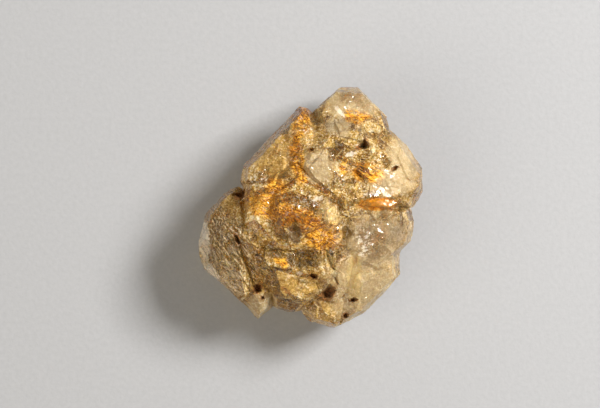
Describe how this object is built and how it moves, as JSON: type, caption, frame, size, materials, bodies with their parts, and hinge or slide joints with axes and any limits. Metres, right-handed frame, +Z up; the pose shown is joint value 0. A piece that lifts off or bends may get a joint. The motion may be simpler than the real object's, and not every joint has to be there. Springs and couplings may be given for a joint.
{
  "type": "skeletal quartz crystal specimen",
  "caption": "Compact lump of honey-coloured skeletal quartz: short parallel crystals grown together, with terraces, grooves and open pits; a mineral specimen that lies on a surface.",
  "frame": {"origin": "middle of the lump's box in plan, on the surface that it rests on", "axes": "+Z up from the resting face, +Y along the crystals' long axes towards the two peaks, +X to the right of the picture"},
  "size_m": [0.04, 0.0434, 0.0249],
  "materials": {
    "quartz": "clear to cloudy honey-coloured quartz, glossy on its faces, with ochre films inside and dark brown clay in the pits"
  },
  "bodies": {
    "root": {"quartz_crystals": "quartz"}
  },
  "joints": []
}
